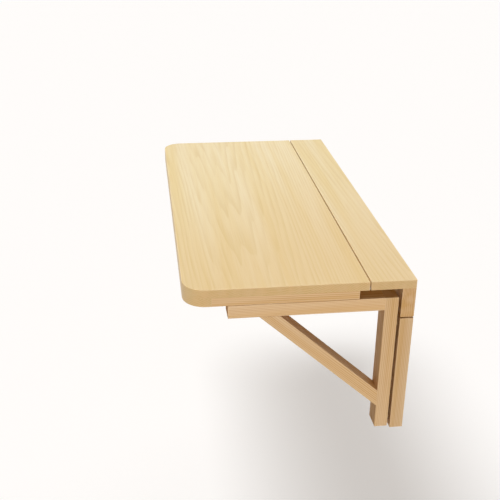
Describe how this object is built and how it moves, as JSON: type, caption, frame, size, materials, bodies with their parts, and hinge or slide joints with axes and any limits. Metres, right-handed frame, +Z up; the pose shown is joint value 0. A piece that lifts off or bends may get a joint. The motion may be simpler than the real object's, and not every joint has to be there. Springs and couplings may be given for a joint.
{
  "type": "wall mounted drop leaf table",
  "caption": "Wall mounted drop leaf table in pine: a fixed strip on a wall rail, a hinged leaf with rounded corners, and swinging triangular brackets on wall posts.",
  "frame": {"origin": "middle of the wall rail's back face, on the wall plane, which is also the centre of both pairs of wall screw holes in the rail", "axes": "+X along the wall, +Y into the wall, +Z up; the leaf points to -Y"},
  "size_m": [1, 0.5, 0.382],
  "materials": {
    "pine": "blonde pine under a clear satin lacquer, straight grain",
    "beech_dowel": "raw beech, glued in",
    "hinge_steel": "satin zinc plate",
    "steel_pin": "drawn steel wire, satin",
    "zinc_screw": "bright zinc plate"
  },
  "bodies": {
    "wall_frame": {"fixed_top_strip": "pine", "wall_rail": "pine", "strip_dowels": "beech_dowel", "leaf_hinge_strip_screws": "zinc_screw", "near_leaf_hinge_strip_plate": "hinge_steel", "near_leaf_hinge_pin": "steel_pin", "middle_leaf_hinge_strip_plate": "hinge_steel", "middle_leaf_hinge_pin": "steel_pin", "far_leaf_hinge_strip_plate": "hinge_steel", "far_leaf_hinge_pin": "steel_pin", "near_wall_post": "pine", "near_post_hinge_screws": "zinc_screw", "near_upper_hinge_post_plate": "hinge_steel", "near_upper_hinge_pin": "steel_pin", "near_lower_hinge_post_plate": "hinge_steel", "near_lower_hinge_pin": "steel_pin", "far_wall_post": "pine", "far_post_hinge_screws": "zinc_screw", "far_upper_hinge_post_plate": "hinge_steel", "far_upper_hinge_pin": "steel_pin", "far_lower_hinge_post_plate": "hinge_steel", "far_lower_hinge_pin": "steel_pin"},
    "leaf": {"leaf_panel": "pine", "leaf_front_batten": "pine", "near_leaf_end_batten": "pine", "far_leaf_end_batten": "pine", "leaf_batten_screws": "zinc_screw", "leaf_hinge_leaf_screws": "zinc_screw", "near_leaf_hinge_leaf_plate": "hinge_steel", "middle_leaf_hinge_leaf_plate": "hinge_steel", "far_leaf_hinge_leaf_plate": "hinge_steel"},
    "near_bracket": {"near_bracket_leg": "pine", "near_bracket_arm": "pine", "near_bracket_brace": "pine", "near_bracket_dowels": "beech_dowel", "near_leg_hinge_screws": "zinc_screw", "near_upper_hinge_leg_plate": "hinge_steel", "near_lower_hinge_leg_plate": "hinge_steel"},
    "far_bracket": {"far_bracket_leg": "pine", "far_bracket_arm": "pine", "far_bracket_brace": "pine", "far_bracket_dowels": "beech_dowel", "far_leg_hinge_screws": "zinc_screw", "far_upper_hinge_leg_plate": "hinge_steel", "far_lower_hinge_leg_plate": "hinge_steel"}
  },
  "joints": [
    {"name": "leaf_hinge", "type": "hinge", "parent": "wall_frame", "child": "leaf", "pos_m": [0, -0.1015, 0.0318], "axis": [-1, 0, 0], "range_deg": [0, 7.5]},
    {"name": "near_bracket_swing", "type": "hinge", "parent": "wall_frame", "child": "near_bracket", "pos_m": [0.4518, -0.0332, -0.1825], "axis": [0, 0, -1], "range_deg": [0, 90]},
    {"name": "far_bracket_swing", "type": "hinge", "parent": "wall_frame", "child": "far_bracket", "pos_m": [-0.4518, -0.0332, -0.1825], "axis": [0, 0, 1], "range_deg": [0, 90]}
  ]
}
